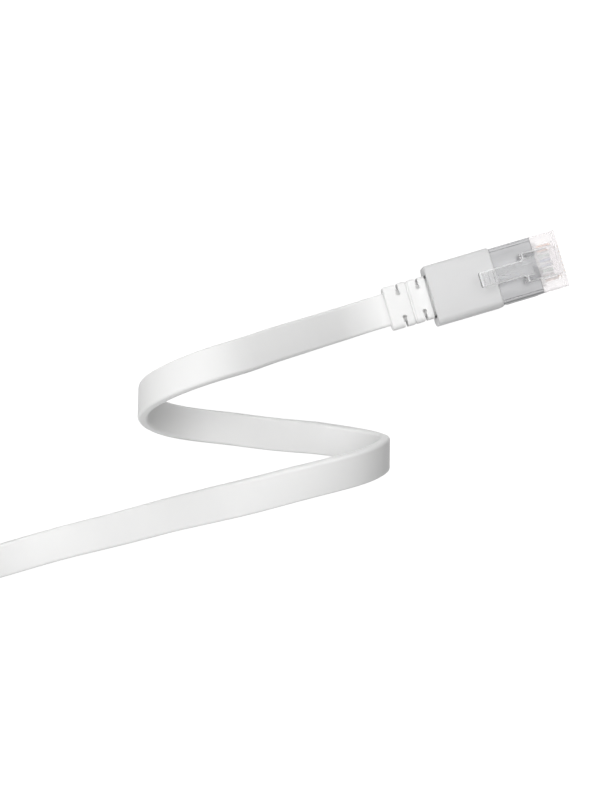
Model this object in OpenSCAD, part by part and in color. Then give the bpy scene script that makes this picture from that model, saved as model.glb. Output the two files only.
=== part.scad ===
// Flat shielded patch cord with an eight-contact modular plug on each end.
// Millimetres. +X runs along the near plug towards its nose, +Z is up, and the floor is z = 0.
// The origin is the bottom centre of the near plug. A plug piece is placed by its distance behind the nose.

/* [Plug body] */
// Length of the clear body, from its nose to its back
body_len = 21.46; // [21.2:0.02:22]
// Width of the clear body and of the shield round it
body_w = 11.68; // [11.4:0.02:11.9]
// Height of the clear body and of the shield round it
body_h = 6.6; // [6.4:0.05:6.9]
// Radius on the long edges of the body and the shield
body_corner = 0.45; // [0.35:0.05:0.7]
// Length of clear nose ahead of the shield
nose_clear = 5.2; // [4.6:0.1:6]
// Wall of the folded metal shield
shield_t = 0.25; // [0.2:0.01:0.3]
// Length of bare shield between the clear nose and the hood
shield_show = 8.6; // [7.8:0.1:9.4]
// Length of the collar that grips the jacket behind the shield
collar_len = 2.6; // [1.8:0.1:2.8]

/* [Hood and strain relief] */
// Width of the hood
hood_w = 12.4; // [12.2:0.1:13.4]
// Height of the hood
hood_h = 8.4; // [7.8:0.1:9.2]
// Radius on the long edges of the hood
hood_corner = 1.5; // [1:0.1:2]
// Back wall of the hood
hood_back_wall = 1; // [0.8:0.1:1.4]
// Width of the strain relief
relief_w = 9; // [8.4:0.1:9.6]
// Height of the strain relief
relief_h = 5; // [4.4:0.1:5.4]
// Length of the strain relief behind the hood
relief_len = 9.1; // [8.6:0.1:11]
// Radius on the long edges of the strain relief
relief_corner = 1.1; // [0.6:0.1:1.5]
// Thickness of the flange that the hood traps
flange_t = 1.8; // [1.2:0.1:2]
// Gap between the shield's collar and the flange
flange_gap = 0.21; // [0.1:0.01:0.5]
// How far the flange stands out past the strain relief's sides
flange_lip = 0.75; // [0.4:0.05:0.8]
// Width of a flex slot
flex_slot_w = 0.55; // [0.4:0.05:0.8]
// Depth of a flex slot from the side
flex_slot_depth = 2; // [1.4:0.1:2.3]
// Radius of the round end of a flex slot
flex_slot_end_r = 0.42; // [0.3:0.02:0.5]
// Distance from the hood to the first pair of flex slots
flex_slot_first = 2; // [1.6:0.1:2.2]
// Distance from one pair of flex slots to the next
flex_slot_pitch = 4.2; // [3.8:0.1:4.6]
// Depth of the cross groove between the pairs of flex slots
cross_groove_depth = 0.6; // [0.3:0.1:0.9]

/* [Latch] */
// Width of the latch from its root to its shoulders
latch_w = 6; // [5.6:0.1:6.4]
// Width of the latch's finger tab
latch_tab_w = 3.25; // [3:0.05:3.6]
// Length of the latch from its pivot to the end of the tab
latch_len = 16.6; // [15.6:0.1:17.4]
// Distance from the pivot to the shoulders that lock in a jack
latch_shoulder = 7.2; // [6.8:0.1:7.6]
// Thickness of the latch beam
latch_t = 0.9; // [0.7:0.05:1]
// Height of the two locking steps on top of the beam
latch_step = 0.6; // [0.4:0.05:0.8]
// Angle at which the free latch stands off the body
latch_angle = 12.5; // [12:0.5:14]
// Travel of the latch when it is pressed, in degrees
latch_travel = 7.5; // [6.5:0.5:7.5]
// Radius of the latch's round root
root_r = 0.55; // [0.5:0.01:0.6]
// Distance from the nose to the latch's pivot
root_back = 1.35; // [1.2:0.05:1.6]
// Height of the latch's pivot above the top of the body
root_rise = 0.4; // [0.4:0.05:0.5]

/* [Contacts and wires] */
// Distance between neighbouring contacts
contact_pitch = 1.02; // [0.98:0.01:1.04]
// Thickness of a contact blade
contact_t = 0.35; // [0.3:0.01:0.4]
// Length of a contact blade along the plug
contact_len = 3.2; // [2.8:0.05:3.2]
// Distance from the nose to a contact blade
contact_back = 0.75; // [0.6:0.05:0.8]
// How far a blade's edge lies inside the body's underside
contact_recess = 0.45; // [0.3:0.05:0.6]
// Diameter of an insulated wire
wire_d = 0.72; // [0.66:0.01:0.73]
// Diameter of a wire's copper core
core_d = 0.36; // [0.3:0.01:0.42]
// Distance between neighbouring wires inside the flat jacket
jacket_pitch = 0.76; // [0.75:0.01:0.78]
// Length of wire that the jacket's open end grips
jacket_grip = 3.6; // [2.5:0.1:5]
// Distance from the nose to the wires' cut ends
wire_back = 1.4; // [1.2:0.05:1.7]
// Distance from the nose to the load bar
bar_back = 4.15; // [4.1:0.05:4.6]
// Length of the load bar
bar_len = 4.7; // [4:0.1:5]
// Width of the load bar
bar_w = 9.2; // [9:0.05:9.6]
// Distance from the nose to the jacket's open end
jacket_back = 13; // [12.6:0.1:14]

/* [Flat cable] */
// Width of the flat cable
cable_w = 6.8; // [6.6:0.1:6.9]
// Thickness of the flat cable
cable_t = 2; // [1.8:0.05:2]
// Bevel along the flat cable's edges
cable_bevel = 0.5; // [0.3:0.05:0.7]

/* [Coil] */
// Distance from one turn to the next
coil_pitch = 2.45; // [2.45:0.01:2.6]
// Number of turns
coil_turns = 5.25; // [5.25:0.25:5.25]
// Straight stretch where the run meets the coil
coil_lead = 6.8; // [6:0.1:8]
// Radius at which the innermost turn draws in to the far plug
draw_in_r = 13.6; // [13.6:0.1:15]
// Angle through which the innermost turn draws in
draw_in_turn = 115; // [110:1:118]
// Straight stretch between the draw-in and the far plug
far_lead = 1.8; // [1.5:0.1:3]
// Gap between the far plug's nose and the turn that it faces
nose_gap = 1; // [0.8:0.1:2]
// Width of a tie round the coil
tie_w = 8; // [6:0.5:8]
// Thickness of a tie
tie_t = 0.7; // [0.5:0.1:1]
// Clearance between a tie and the cable
tie_gap = 0.3; // [0.2:0.05:0.4]

/* [Fits] */
// Clearance between pieces pressed or moulded together
snug = 0.03; // [0.02:0.01:0.04]
// Clearance between pieces that slide together, and round the latch's root
slide = 0.05; // [0.04:0.01:0.06]

/* [Hidden] */
ENDS = ["near", "far"];
PLUG_PIECES = ["housing", "latch", "shield", "load_bar", "hood", "strain_relief", "jacket_end", "copper_cores"];
CONDUCTORS = [1:8];

$fn = 32;
past = 1; // how far a cut runs past the face it opens

// Where things are along the plug, from its nose
plate_front = body_len + snug;
plate_back = plate_front + shield_t;
collar_end = plate_back + collar_len;
flange_front = collar_end + flange_gap;
flange_back = flange_front + flange_t;
hood_front = nose_clear + shield_show;
hood_step = plate_back + slide;
hood_back = flange_back + slide + hood_back_wall;
plug_len = hood_back + relief_len;
nose_x = plug_len / 2;
contact_end = contact_back + contact_len;
bar_end = bar_back + bar_len;

// Heights in a plug
axis_z = hood_h / 2;
body_top = axis_z + body_h / 2;
body_bottom = axis_z - body_h / 2;
root_z = body_top + root_rise;
blade_bottom = body_bottom + contact_recess;
blade_top = axis_z - wire_d / 2 - snug;

// Colour code of the eight wires, in contact order
WHITE = [0.93, 0.93, 0.92];
ORANGE = [0.9, 0.5, 0.2];
GREEN = [0.3, 0.65, 0.4];
BLUE = [0.3, 0.45, 0.8];
BROWN = [0.5, 0.35, 0.25];
WIRE_COLOURS = [WHITE, ORANGE, WHITE, BLUE, WHITE, GREEN, WHITE, BROWN];
CLEAR = [0.9, 0.93, 0.96, 0.5];
NICKEL = [0.74, 0.75, 0.77];
GOLD = [0.85, 0.7, 0.35];
COPPER = [0.8, 0.5, 0.35];

// The run from the near plug to the coil, as [x, y, z, lean] of points that a smooth curve follows.
// Lean is the angle in degrees by which the cable's width is raised from level.
// The cable leaves the relief, climbs back over a first bend, crosses the floor, turns over a second
// bend, comes down to the floor and turns on its edge.
relief_exit = [-plug_len / 2, 0, axis_z, 0];
RUN_POINTS = concat([relief_exit], [
    [-22.5, 0, 4.2, 0], [-27.1, -0.2, 5.8, -5], [-31.2, -0.4, 8.8, -10], [-35, -0.6, 11.8, -14],
    [-38.9, -0.8, 14.9, -17], [-43.4, -1, 18.4, -20], [-48.3, -1.5, 22.3, -21], [-52.9, -1.5, 25, -21],
    [-59.3, -1.8, 25.6, -19], [-65.1, -2.4, 23.3, -17], [-69.2, -3.3, 18.7, -14], [-70.8, -4.9, 13.3, -11],
    [-70, -6.9, 8.1, -10], [-67.5, -9, 4.3, -8], [-64.1, -10.8, 1.9, -5], [-60.1, -12.6, 0.9, -1],
    [-56, -14.2, 1.4, 6], [-47.4, -18.1, 1.9, 13], [-40.1, -20.8, 1.8, 18], [-36.8, -22.3, 2, 20],
    [-33.3, -23.9, 3.4, 20], [-30.2, -25.4, 6.1, 17], [-28, -26.7, 10.1, 15], [-27.2, -27.4, 15, 13],
    [-28.2, -27.7, 20, 12], [-31.3, -28.1, 24.7, 15], [-36.5, -27.9, 28, 18], [-44.6, -27.4, 29.5, 20],
    [-52.5, -27.3, 28.3, 19], [-57.9, -27.2, 25.7, 17], [-61.8, -27.1, 23.2, 13], [-65.4, -27.1, 20.4, 9],
    [-71.6, -27, 15.6, 5], [-82.1, -27.3, 8.6, 1], [-96, -27, 1.5, 0], [-105, -27, 1.5, 2],
    [-111, -27, 2, 14], [-116.5, -27, 3, 34], [-122, -27, 4, 56], [-127.5, -27, 4.4, 76]
]);
// Angle from +Y of the direction that the cable's width keeps to along the run
width_heading = -16.4;
rings_per_point = 2;

// The coil, wound clockwise seen from above with the cable on its edge
RINGS_PER_TURN = 24;
RING_STEP = 360 / RINGS_PER_TURN;
coil_z = tie_t + tie_gap + cable_w / 2;
coil_start = [-133.4, -27];
// The innermost turn just holds the far plug: its draw-in's centre lies so far from the coil's centre that
// the nose's outer corner keeps nose_gap from the turn that it faces, half a turn out from the draw-in.
draw_in_offset =
    let (reach = far_lead + plug_len, corner = draw_in_r + body_h / 2,
        free = draw_in_r - cable_t / 2 - nose_gap + coil_pitch / 2)
    (reach * reach + corner * corner - free * free)
    / (2 * (sin(draw_in_turn) * reach - cos(draw_in_turn) * corner + free));
coil_inner_r = draw_in_r + draw_in_offset;
coil_r = coil_inner_r + coil_pitch * coil_turns;
coil_centre = [coil_start.x - coil_lead, coil_start.y + coil_r];
coil_end_angle = 360 * coil_turns;
draw_in_rings = 8;
far_axis_z = hood_w / 2;
TIE_FACETS = [2, 14];

function unit(v) = v / norm(v);
function ramp(t) = t * t * (3 - 2 * t);

// Smooth curve: a uniform cubic B-spline that starts and ends on its first and last points
function ends_added(p) = concat([2 * p[0] - p[1]], p, [2 * p[len(p) - 1] - p[len(p) - 2]]);
function spline_at(q, i, t) =
    (pow(1 - t, 3) * q[i] + (3 * pow(t, 3) - 6 * t * t + 4) * q[i + 1]
     + (1 + 3 * t + 3 * t * t - 3 * pow(t, 3)) * q[i + 2] + pow(t, 3) * q[i + 3]) / 6;
function spline_slope(q, i, t) =
    (-pow(1 - t, 2) * q[i] + (3 * t * t - 4 * t) * q[i + 1]
     + (1 + 2 * t - 3 * t * t) * q[i + 2] + t * t * q[i + 3]) / 2;

// A ring is [centre, along, across]: unit vectors along the cable and across its width
function xyz(p) = [p[0], p[1], p[2]];
function width_towards(lean) =
    cos(lean) * [-sin(width_heading), cos(width_heading), 0] + sin(lean) * [0, 0, 1];
function square_to(v, along) = unit(v - (v * along) * along);
function run_ring(q, i, t) =
    let (p = spline_at(q, i, t), along = unit(xyz(spline_slope(q, i, t))))
    [xyz(p), along, square_to(width_towards(p[3]), along)];
function run_rings() =
    let (p = concat(RUN_POINTS, [[coil_start.x, coil_start.y, coil_z, 90]]), q = ends_added(p), last = len(p) - 2)
    concat(
        [for (i = [0:last], s = [0:rings_per_point - 1]) run_ring(q, i, s / rings_per_point)],
        [run_ring(q, last, 1)]
    );

// Coil positions are angles from the bottom of the coil, clockwise
function outward(angle) = [-sin(angle), -cos(angle), 0];
function onward(angle) = [-cos(angle), sin(angle), 0];
function coil_radius(angle) = coil_r - coil_pitch * angle / 360;
function coil_middle() = [coil_centre.x, coil_centre.y, coil_z];
function coil_ring(angle) =
    [coil_middle() + coil_radius(angle) * outward(angle), onward(angle), [0, 0, 1]];
function draw_in_middle() = coil_middle() + draw_in_offset * outward(coil_end_angle);
function draw_in_ring(share) =
    let (angle = coil_end_angle + share * draw_in_turn)
    [draw_in_middle() + draw_in_r * outward(angle) + [0, 0, (far_axis_z - coil_z) * ramp(share)],
     onward(angle), [0, 0, 1]];
function moved_on(ring, by) = [ring[0] + by * ring[1], ring[1], ring[2]];
function coil_rings() = concat(
    [moved_on(coil_ring(0), -coil_lead)],
    [for (angle = [0:RING_STEP:coil_end_angle]) coil_ring(angle)],
    [for (i = [1:draw_in_rings]) draw_in_ring(i / draw_in_rings)],
    [moved_on(draw_in_ring(1), far_lead)]
);
far_exit = moved_on(draw_in_ring(1), far_lead)[0];
far_heading = 180 - coil_end_angle - draw_in_turn;

// The least gap between the coil's turns, measured between ring centres half a turn apart or more
coil_centres = [for (ring = coil_rings()) ring[0]];
least_gap = min([
    for (i = [0:len(coil_centres) - 1], j = [i + RINGS_PER_TURN / 2:1:len(coil_centres) - 1])
        norm(coil_centres[i] - coil_centres[j]) * cos(RING_STEP / 2) - cable_t
]);
function path_length(p) =
    len(p) < 2 ? 0 : [for (i = 0, sum = 0; i < len(p); i = i + 1,
        sum = sum + (i < len(p) ? norm(p[i] - p[i - 1]) : 0)) sum][len(p) - 1];
echo(least_gap_between_turns = least_gap);
echo(run_length = path_length([for (ring = run_rings()) ring[0]]));
echo(coil_length = path_length(coil_centres));
echo(far_exit = far_exit, far_heading = far_heading);

// A rectangle with round corners
module rounded(w, h, r) {
    square([w - 2 * r, h], center = true);
    square([w, h - 2 * r], center = true);
    for (x = [-1, 1], y = [-1, 1])
        translate([x * (w / 2 - r), y * (h / 2 - r)]) circle(r);
}

// A round-edged bar along the plug's axis, between two distances behind the nose
module bar(front, back, w, h, r) {
    translate([nose_x - back, 0, axis_z])
        rotate([90, 0, 90])
            linear_extrude(back - front) rounded(w, h, r);
}

// A square block along the plug, between two distances behind the nose and two heights
module block(front, back, w, low, high) {
    translate([nose_x - back, -w / 2, low]) cube([back - front, w, high - low]);
}

// A rod along the plug
module rod(front, back, y, d) {
    translate([nose_x - back, y, axis_z])
        rotate([0, 90, 0]) cylinder(h = back - front, d = d);
}

// An upright plate across a given width, from an outline of [distance behind the nose, height] points
module upright(w, outline) {
    rotate([90, 0, 0])
        linear_extrude(w, center = true)
            polygon([for (p = outline) [nose_x - p[0], p[1]]]);
}

function contact_y(k) = (4.5 - k) * contact_pitch;
function jacket_y(k) = (4.5 - k) * jacket_pitch;

// Clear one-piece body: nose, raised pivot boss, wire channels, contact slots and the open back
boss_front = 0.35;
boss_back = root_back + root_r + slide + 0.3;
boss_top = root_z + root_r + slide + 0.3;
throat_reach = boss_back - root_back + 0.3;
slot_w = contact_t + 2 * snug;
slot_front_top = axis_z - 1.3;
channel_d = wire_d + 2 * snug;
module housing() {
    under_shield = 2 * (shield_t + snug);
    color(CLEAR) difference() {
        union() {
            bar(0, nose_clear, body_w, body_h, body_corner);
            bar(nose_clear, body_len, body_w - under_shield, body_h - under_shield, body_corner - shield_t / 2);
            block(boss_front, boss_back, latch_w, axis_z, boss_top);
        }
        block(bar_back - snug, body_len + past, bar_w + 2 * snug,
            axis_z - cable_t / 2 - snug, axis_z + cable_t / 2 + snug);
        for (k = CONDUCTORS) {
            rod(wire_back - snug, bar_back, contact_y(k), channel_d);
            translate([0, contact_y(k), 0]) {
                block(-past, contact_end + snug, slot_w, body_bottom - past, slot_front_top);
                block(contact_back - snug, contact_end + snug, slot_w, slot_front_top - snug, axis_z);
            }
        }
        translate([nose_x - root_back, 0, root_z])
            rotate([90, 0, 0]) cylinder(h = latch_w + 2 * past, r = root_r + slide, center = true);
        throat(latch_w + 2 * past);
    }
}

// The space that the latch beam sweeps through the boss's back wall
module throat(w) {
    low = latch_angle - latch_travel;
    half = latch_t / 2 + slide;
    upright(w, [
        [root_back, root_z - half],
        [root_back + throat_reach, root_z - half / cos(low) + throat_reach * tan(low)],
        [root_back + throat_reach, root_z + half / cos(latch_angle) + throat_reach * tan(latch_angle)],
        [root_back, root_z + half]
    ]);
}

// Clear latch: round root, beam, two locking steps and the finger tab with its ribs
tab_rib_d = 0.5;
tab_rib_pitch = 1.1;
step_run = 2.6;
module latch() {
    color(CLEAR)
        translate([nose_x - root_back, 0, root_z]) rotate([0, latch_angle, 0]) {
            rotate([90, 0, 0]) cylinder(h = latch_w, r = root_r, center = true);
            translate([-latch_shoulder, -latch_w / 2, -latch_t / 2]) cube([latch_shoulder, latch_w, latch_t]);
            translate([-latch_len, -latch_tab_w / 2, -latch_t / 2]) cube([latch_len, latch_tab_w, latch_t]);
            step_w = (latch_w - latch_tab_w) / 2;
            for (side = [-1, 1])
                translate([0, side * (latch_w - step_w) / 2, 0])
                    rotate([90, 0, 0]) linear_extrude(step_w, center = true)
                        polygon([[-latch_shoulder, 0], [-latch_shoulder, latch_t / 2 + latch_step],
                            [-latch_shoulder + 0.5, latch_t / 2 + latch_step], [-latch_shoulder + step_run, 0]]);
            for (i = [0:2])
                translate([-latch_len + tab_rib_d + i * tab_rib_pitch, 0, latch_t / 2])
                    rotate([90, 0, 0]) cylinder(h = latch_tab_w, d = tab_rib_d, center = true);
        }
}

// Folded metal shield: the sleeve, the back plate and the collar round the jacket
module shield() {
    color(NICKEL) difference() {
        union() {
            bar(nose_clear + snug, plate_back, body_w, body_h, body_corner);
            bar(plate_front, collar_end, cable_w + 2 * (snug + shield_t),
                cable_t + 2 * (snug + shield_t), cable_bevel + shield_t);
        }
        bar(nose_clear - past, plate_front, body_w - 2 * shield_t, body_h - 2 * shield_t, body_corner - shield_t / 2);
        bar(plate_front - past, collar_end + past, cable_w + 2 * snug, cable_t + 2 * snug, cable_bevel);
    }
}

// Load bar that holds the eight wires at the contacts' pitch
module load_bar() {
    color("white") difference() {
        block(bar_back, bar_end, bar_w, axis_z - cable_t / 2, axis_z + cable_t / 2);
        for (k = CONDUCTORS) rod(bar_back - past, bar_end + past, contact_y(k), channel_d);
    }
}

// Moulded hood over the back of the shield, with a wall that traps the strain relief's flange
flange_w = relief_w + 2 * flange_lip;
flange_h = relief_h + 2 * flange_lip;
module hood() {
    color([0.95, 0.95, 0.95]) difference() {
        bar(hood_front, hood_back, hood_w, hood_h, hood_corner);
        bar(hood_front - past, hood_step, body_w + 2 * slide, body_h + 2 * slide, body_corner);
        bar(hood_step - past, flange_back + slide, flange_w + 2 * slide, flange_h + 2 * slide, body_corner);
        bar(hood_back - hood_back_wall - past, hood_back + past, relief_w + 2 * snug, relief_h + 2 * snug,
            relief_corner);
    }
}

// Soft strain relief: flange, body, flex slots from both sides and a groove across between them
module strain_relief() {
    slots = [for (i = [0, 1]) hood_back + flex_slot_first + i * flex_slot_pitch];
    groove_at = hood_back + flex_slot_first + flex_slot_pitch / 2;
    slot_end_y = relief_w / 2 - flex_slot_depth;
    color([0.97, 0.97, 0.97]) difference() {
        union() {
            bar(flange_front, flange_back, flange_w, flange_h, body_corner);
            bar(flange_front, plug_len, relief_w, relief_h, relief_corner);
        }
        bar(0, plug_len + past, cable_w + 2 * snug, cable_t + 2 * snug, cable_bevel);
        for (at = slots, side = [-1, 1]) {
            translate([nose_x - at - flex_slot_w / 2, side > 0 ? slot_end_y : -relief_w / 2 - past, 0])
                cube([flex_slot_w, flex_slot_depth + past, hood_h]);
            translate([nose_x - at, side * slot_end_y, 0]) cylinder(h = hood_h, r = flex_slot_end_r);
        }
        for (low = [axis_z - relief_h / 2 - past, axis_z + relief_h / 2 - cross_groove_depth])
            block(groove_at - flex_slot_w / 2, groove_at + flex_slot_w / 2, relief_w - 2 * relief_corner,
                low, low + cross_groove_depth + past);
    }
}

// The cable's jacket inside the plug, with the open end that the wires come out of
jacket_bore_w = 7 * jacket_pitch + wire_d + 2 * snug;
module jacket_end() {
    color([0.96, 0.96, 0.96]) difference() {
        bar(jacket_back, plug_len, cable_w, cable_t, cable_bevel);
        block(jacket_back - past, jacket_back + jacket_grip + snug, jacket_bore_w,
            axis_z - wire_d / 2 - snug, axis_z + wire_d / 2 + snug);
    }
}

// One insulated wire: straight through the load bar, then drawn in to the jacket's pitch.
// Its slanting stretch is a hair slimmer, so that no two round faces coincide where it bends.
bend_slack = 0.02;
module wire(k) {
    fan_start = [nose_x - bar_end - 0.2, contact_y(k), axis_z];
    fan_end = [nose_x - jacket_back + 0.1, jacket_y(k), axis_z];
    way = fan_end - fan_start;
    color(WIRE_COLOURS[k - 1]) difference() {
        union() {
            rod(wire_back, bar_end + 0.2, contact_y(k), wire_d);
            for (bend = [fan_start, fan_end]) translate(bend) sphere(d = wire_d - bend_slack);
            translate(fan_start) rotate([0, 0, atan2(way.y, way.x)]) rotate([0, 90, 0])
                cylinder(h = norm(way), d = wire_d - 2 * bend_slack);
            rod(jacket_back - 0.1, jacket_back + jacket_grip, jacket_y(k), wire_d);
        }
        rod(wire_back - past, bar_end, contact_y(k), core_d + snug);
    }
}

// The eight copper cores, where the contacts reach them
module copper_cores() {
    color(COPPER) for (k = CONDUCTORS) rod(wire_back, bar_end - snug, contact_y(k), core_d);
}

// One contact blade with a round leading edge below and two piercing points above
nose_round = 0.7;
point_half_w = 0.45;
shelf_top = blade_top - 0.75;
module contact(k) {
    points_at = [for (share = [0.3, 0.72]) contact_back + share * contact_len];
    rounding = [for (a = [0:22.5:90])
        [contact_back + nose_round * (1 - cos(a)), blade_bottom + nose_round * (1 - sin(a))]];
    color(GOLD) translate([0, contact_y(k), 0])
        upright(contact_t, concat(
            rounding,
            [[contact_end, blade_bottom], [contact_end, shelf_top]],
            [for (i = [1, 0], p = [[1, shelf_top], [0, blade_top], [-1, shelf_top]])
                [points_at[i] + p[0] * point_half_w, p[1]]],
            [[contact_back, shelf_top]]
        ));
}

// A swept flat tube through a list of rings
PROFILE = [
    [cable_w / 2, cable_t / 2 - cable_bevel], [cable_w / 2 - cable_bevel, cable_t / 2],
    [cable_bevel - cable_w / 2, cable_t / 2], [-cable_w / 2, cable_t / 2 - cable_bevel],
    [-cable_w / 2, cable_bevel - cable_t / 2], [cable_bevel - cable_w / 2, -cable_t / 2],
    [cable_w / 2 - cable_bevel, -cable_t / 2], [cable_w / 2, cable_bevel - cable_t / 2]
];
module flat_tube(rings) {
    n = len(PROFILE);
    last = len(rings) - 1;
    points = [for (ring = rings, p = PROFILE) ring[0] + p[0] * ring[2] + p[1] * cross(ring[2], ring[1])];
    sides = [for (i = [0:last - 1], j = [0:n - 1], half = [0, 1])
        let (a = i * n + j, b = i * n + (j + 1) % n)
        half == 0 ? [a, b, b + n] : [a, b + n, a + n]];
    front = [for (j = [1:n - 2]) [0, j + 1, j]];
    back = [for (j = [1:n - 2]) [last * n, last * n + j, last * n + j + 1]];
    polyhedron(points, concat(sides, front, back), convexity = 10);
}

module cable_run() {
    color([0.96, 0.96, 0.96]) flat_tube(run_rings());
}

module cable_coil() {
    color([0.96, 0.96, 0.96]) flat_tube(coil_rings());
}

// Two straps round the coil, each square to the middle of a flat between two rings
module coil_ties() {
    flat_share = cos(RING_STEP / 2);
    color([0.9, 0.9, 0.9]) for (facet = TIE_FACETS) {
        angle = (facet + 0.5) * RING_STEP;
        whole_turns = floor(coil_turns - angle / 360);
        outer = coil_radius(angle) * flat_share + cable_t / 2 + tie_gap;
        inner = coil_radius(angle + 360 * whole_turns) * flat_share - cable_t / 2 - tie_gap;
        height = cable_w + 2 * tie_gap;
        translate([coil_centre.x, coil_centre.y, 0])
            rotate([0, 0, -90 - angle])
                translate([0, tie_w / 2, 0]) rotate([90, 0, 0]) linear_extrude(tie_w) difference() {
                    translate([inner - tie_t, 0]) square([outer - inner + 2 * tie_t, height + 2 * tie_t]);
                    translate([inner, tie_t]) square([outer - inner, height]);
                }
    }
}

// The far plug lies on its side inside the coil, with its latch towards the coil's middle
module place(end) {
    if (end == "far")
        translate(far_exit) rotate([0, 0, far_heading]) rotate([90, 0, 0])
            translate([plug_len / 2, 0, -axis_z]) children();
    else children();
}

for (end = ENDS) place(end) {
    housing();
    latch();
    shield();
    load_bar();
    hood();
    strain_relief();
    jacket_end();
    copper_cores();
    for (k = CONDUCTORS) {
        contact(k);
        wire(k);
    }
}
cable_run();
cable_coil();
coil_ties();
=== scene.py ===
"""Looks of the flat shielded patch cord: finer cable, plugs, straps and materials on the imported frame."""
import math

import bpy
from mathutils import Matrix, Vector


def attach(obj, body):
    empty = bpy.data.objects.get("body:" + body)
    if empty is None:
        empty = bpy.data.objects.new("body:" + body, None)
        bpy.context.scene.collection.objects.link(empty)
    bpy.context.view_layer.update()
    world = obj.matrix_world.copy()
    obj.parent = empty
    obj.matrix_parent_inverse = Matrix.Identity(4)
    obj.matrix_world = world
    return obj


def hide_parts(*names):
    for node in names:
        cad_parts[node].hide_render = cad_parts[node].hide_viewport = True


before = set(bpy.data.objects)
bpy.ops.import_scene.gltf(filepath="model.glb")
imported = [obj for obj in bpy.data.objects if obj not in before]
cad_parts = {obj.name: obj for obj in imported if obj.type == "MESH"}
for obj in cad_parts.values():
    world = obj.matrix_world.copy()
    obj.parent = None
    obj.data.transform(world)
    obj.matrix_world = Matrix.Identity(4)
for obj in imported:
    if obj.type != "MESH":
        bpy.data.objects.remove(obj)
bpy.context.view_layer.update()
MM = 0.001
HEIGHT = Vector((0, 0, 1))
ENDS = ("near", "far")

# ---------------------------------------------------------------- camera, looking straight down
# place and lens are fitted to the photograph
CAMERA_AT = Vector((-0.04048, -0.01266, 0.280))
IMAGE_TURN = math.radians(-16.4)
SENSOR, LENS = 36, 60.75
NEAREST, FARTHEST = 0.01, 20
# the image's right and up, as directions along the floor
RIGHT = Vector((math.cos(IMAGE_TURN), math.sin(IMAGE_TURN), 0))
UP = Vector((-math.sin(IMAGE_TURN), math.cos(IMAGE_TURN), 0))

camera = bpy.data.objects.new("camera", bpy.data.cameras.new("camera"))
bpy.context.scene.collection.objects.link(camera)
camera.location = CAMERA_AT
camera.rotation_euler = (0, 0, IMAGE_TURN)
camera.data.sensor_width, camera.data.lens = SENSOR, LENS
camera.data.clip_start, camera.data.clip_end = NEAREST, FARTHEST
bpy.context.scene.camera = camera

# ---------------------------------------------------------------- sizes in millimetres, as in the CAD source
PLUG_LEN, NOSE_X, AXIS_Z = 36.5, 18.25, 4.2
BODY_W, BODY_H, BODY_CORNER = 11.68, 6.6, 0.45
NOSE_CLEAR, BODY_LEN, SHIELD_T = 5.2, 21.46, 0.25
HOOD_FRONT, HOOD_BACK, HOOD_W, HOOD_H, HOOD_CORNER = 13.8, 27.4, 12.4, 8.4, 1.5
RELIEF_W, RELIEF_H, RELIEF_CORNER = 9.0, 5.0, 1.1
SLOT_W, SLOT_DEPTH, SLOT_END_R, SLOT_FIRST, SLOT_PITCH = 0.55, 2.0, 0.42, 2.0, 4.2
LATCH_W, LATCH_TAB_W, LATCH_LEN, LATCH_SHOULDER, LATCH_T = 6.0, 3.25, 16.6, 7.2, 0.9
LATCH_STEP, LATCH_ANGLE, ROOT_R, ROOT_BACK, ROOT_RISE = 0.6, 12.5, 0.55, 1.35, 0.4
CONTACT_PITCH, CONTACT_T, CONTACT_LEN, CONTACT_BACK, CONTACT_RECESS = 1.02, 0.35, 3.2, 0.75, 0.45
WIRE_D, CORE_D, JACKET_PITCH, JACKET_GRIP, JACKET_BACK = 0.72, 0.36, 0.76, 3.6, 13.0
WIRE_BACK, BAR_END = 1.4, 8.85
CABLE_W, CABLE_T = 6.8, 2.0
COIL_R, COIL_PITCH, COIL_TURNS = 40.9838, 2.45, 5.25
DRAW_IN_R, DRAW_IN_TURN, FAR_LEAD, FAR_AXIS_Z = 13.6, 115.0, 1.8, 6.2
TIE_W, TIE_T, TIE_GAP = 8.0, 0.7, 0.3
COIL_Z = TIE_T + TIE_GAP + CABLE_W / 2
SNUG = 0.03

# ---------------------------------------------------------------- further sizes in millimetres, for finer forms
CABLE_CORNER = 0.62
LEAST_CORNER, FILLET_STEPS = 0.12, 3
HOOD_EDGE, RELIEF_EDGE, RELIEF_FRONT_EDGE = 0.28, 0.4, 0.1
BODY_PLAY, RELIEF_PLAY, MOUTH_EDGE, MOUTH_DEPTH, BACK_DEPTH = 0.1, 0.06, 0.1, 7, 0.9
SHADOW_GAP, GAP_DEPTH = 0.28, 0.6
SHIELD_INNER_CORNER, SHIELD_EDGE, SHIELD_EDGE_LEN = 0.32, 0.05, 0.06
SHIELD_FOLD = (5.05, 0.16, 0.05)                # from the middle, width, depth
SPRING = ((6.3, 3.0), (6.6, 2.7), (12.3, 2.7), (12.6, 3.0),     # behind the nose, height
          (12.6, 5.4), (12.3, 5.7), (6.6, 5.7), (6.3, 5.4))
SPRING_SUNK, SPRING_PROUD = 0.15, 0.1
WAIST = ((-0.34, 0), (-0.18, 0.14), (-0.08, 0.34), (0.08, 0.34), (0.18, 0.14), (0.34, 0))   # along, depth
WAIST_AT_SIDES, WAIST_AT_CORNERS = 0.7, 0.3     # in parts of that depth
SLOT_OUT, SLOT_OVER = 1, 0.5                    # how far what cuts the slots stands out
LATCH_EDGE, LATCH_EDGE_DROP = 0.24, 0.22
LATCH_CORNER, LATCH_FILLET, TAB_CORNER = 0.3, 0.35, 0.5
STEP_PLAY, STEP_EDGE, STEP_CUT, STEP_FLAT, STEP_LEN = 0.02, 0.16, 0.18, 0.48, 3.08
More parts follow.
